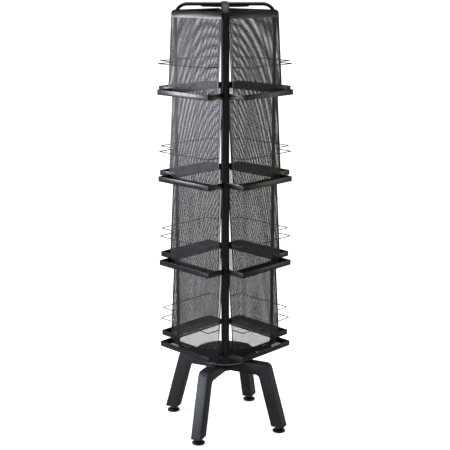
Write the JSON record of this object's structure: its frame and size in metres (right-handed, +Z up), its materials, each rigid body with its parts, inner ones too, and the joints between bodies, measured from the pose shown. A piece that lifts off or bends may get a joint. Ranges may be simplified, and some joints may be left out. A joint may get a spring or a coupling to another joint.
{
  "type": "rotating display rack",
  "caption": "Free-standing rotating literature rack: tiered mesh pockets on a tubular hoop frame that turns on a flat ball bearing over a splayed-leg base with levelling glides",
  "frame": {"origin": "on the floor, on the turning axis, at the middle of the base", "axes": "+Z up along the turning axis; +X and +Y are the outward directions of two neighbouring pocket sides at rest; millimetres in the STEP files, metres here"},
  "size_m": [0.5146, 0.5146, 1.676],
  "materials": {
    "powder_coat": "black semi-gloss powder coat",
    "coated_mesh": "black powder-coated woven wire mesh",
    "coated_wire": "black powder-coated wire",
    "zinc_plated": "bright zinc plate",
    "bearing_steel": "polished steel",
    "nylon": "moulded nylon",
    "glide_plastic": "moulded black plastic"
  },
  "bodies": {
    "base": {"lower_bearing_plate": "zinc_plated", "hub_plate": "powder_coat", "hub_bolts": "zinc_plated", "pivot_bolt": "zinc_plated", "pivot_nut": "zinc_plated", "pivot_washer": "nylon", "hub_washer": "zinc_plated", "leg_a": "powder_coat", "leg_b": "powder_coat", "leg_c": "powder_coat", "leg_d": "powder_coat"},
    "tower": {"frame_hoop": "powder_coat", "frame_half_hoop_left": "powder_coat", "frame_half_hoop_right": "powder_coat", "top_joint_plate": "powder_coat", "turntable_disc": "powder_coat", "disc_screws": "zinc_plated", "wire_rails": "coated_wire", "upper_bearing_plate": "zinc_plated", "tray_tier1_side1": "powder_coat", "tray_tier1_side2": "powder_coat", "tray_tier1_side3": "powder_coat", "tray_tier1_side4": "powder_coat", "tray_tier2_side1": "powder_coat", "tray_tier2_side2": "powder_coat", "tray_tier2_side3": "powder_coat", "tray_tier2_side4": "powder_coat", "tray_tier3_side1": "powder_coat", "tray_tier3_side2": "powder_coat", "tray_tier3_side3": "powder_coat", "tray_tier3_side4": "powder_coat", "tray_tier4_side1": "powder_coat", "tray_tier4_side2": "powder_coat", "tray_tier4_side3": "powder_coat", "tray_tier4_side4": "powder_coat", "mesh_back_tier1_side1": "coated_mesh", "mesh_back_tier1_side2": "coated_mesh", "mesh_back_tier1_side3": "coated_mesh", "mesh_back_tier1_side4": "coated_mesh", "mesh_back_tier2_side1": "coated_mesh", "mesh_back_tier2_side2": "coated_mesh", "mesh_back_tier2_side3": "coated_mesh", "mesh_back_tier2_side4": "coated_mesh", "mesh_back_tier3_side1": "coated_mesh", "mesh_back_tier3_side2": "coated_mesh", "mesh_back_tier3_side3": "coated_mesh", "mesh_back_tier3_side4": "coated_mesh", "mesh_back_tier4_side1": "coated_mesh", "mesh_back_tier4_side2": "coated_mesh", "mesh_back_tier4_side3": "coated_mesh", "mesh_back_tier4_side4": "coated_mesh"},
    "ball_ring": {"bearing_balls": "bearing_steel"},
    "glide_a": {"glide_pad_a": "glide_plastic"},
    "stem_a": {"glide_stem_a": "zinc_plated"},
    "glide_b": {"glide_pad_b": "glide_plastic"},
    "stem_b": {"glide_stem_b": "zinc_plated"},
    "glide_c": {"glide_pad_c": "glide_plastic"},
    "stem_c": {"glide_stem_c": "zinc_plated"},
    "glide_d": {"glide_pad_d": "glide_plastic"},
    "stem_d": {"glide_stem_d": "zinc_plated"}
  },
  "joints": [
    {"name": "tower_turn", "type": "hinge", "parent": "base", "child": "tower", "pos_m": [0, 0, 0.288], "axis": [0, 0, 1], "continuous": true},
    {"name": "ball_ring_turn", "type": "hinge", "parent": "base", "child": "ball_ring", "pos_m": [0, 0, 0.288], "axis": [0, 0, 1], "continuous": true},
    {"name": "glide_a_rise", "type": "slide", "parent": "base", "child": "glide_a", "axis": [0, 0, -1], "range_m": [0, 0.01]},
    {"name": "stem_a_turn", "type": "hinge", "parent": "glide_a", "child": "stem_a", "pos_m": [0.22544, 0.07631, 0.03], "axis": [0, 0, -1], "range_deg": [0, 2401]},
    {"name": "glide_b_rise", "type": "slide", "parent": "base", "child": "glide_b", "axis": [0, 0, -1], "range_m": [0, 0.01]},
    {"name": "stem_b_turn", "type": "hinge", "parent": "glide_b", "child": "stem_b", "pos_m": [-0.07631, 0.22544, 0.03], "axis": [0, 0, -1], "range_deg": [0, 2401]},
    {"name": "glide_c_rise", "type": "slide", "parent": "base", "child": "glide_c", "axis": [0, 0, -1], "range_m": [0, 0.01]},
    {"name": "stem_c_turn", "type": "hinge", "parent": "glide_c", "child": "stem_c", "pos_m": [-0.22544, -0.07631, 0.03], "axis": [0, 0, -1], "range_deg": [0, 2401]},
    {"name": "glide_d_rise", "type": "slide", "parent": "base", "child": "glide_d", "axis": [0, 0, -1], "range_m": [0, 0.01]},
    {"name": "stem_d_turn", "type": "hinge", "parent": "glide_d", "child": "stem_d", "pos_m": [0.07631, -0.22544, 0.03], "axis": [0, 0, -1], "range_deg": [0, 2401]}
  ],
  "couplings": [
    {"joint": "ball_ring_turn", "follows": "tower_turn", "ratio": 0.5},
    {"joint": "stem_a_turn", "follows": "glide_a_rise", "rad_per_m": 4188.8},
    {"joint": "stem_b_turn", "follows": "glide_b_rise", "rad_per_m": 4188.8},
    {"joint": "stem_c_turn", "follows": "glide_c_rise", "rad_per_m": 4188.8},
    {"joint": "stem_d_turn", "follows": "glide_d_rise", "rad_per_m": 4188.8}
  ]
}
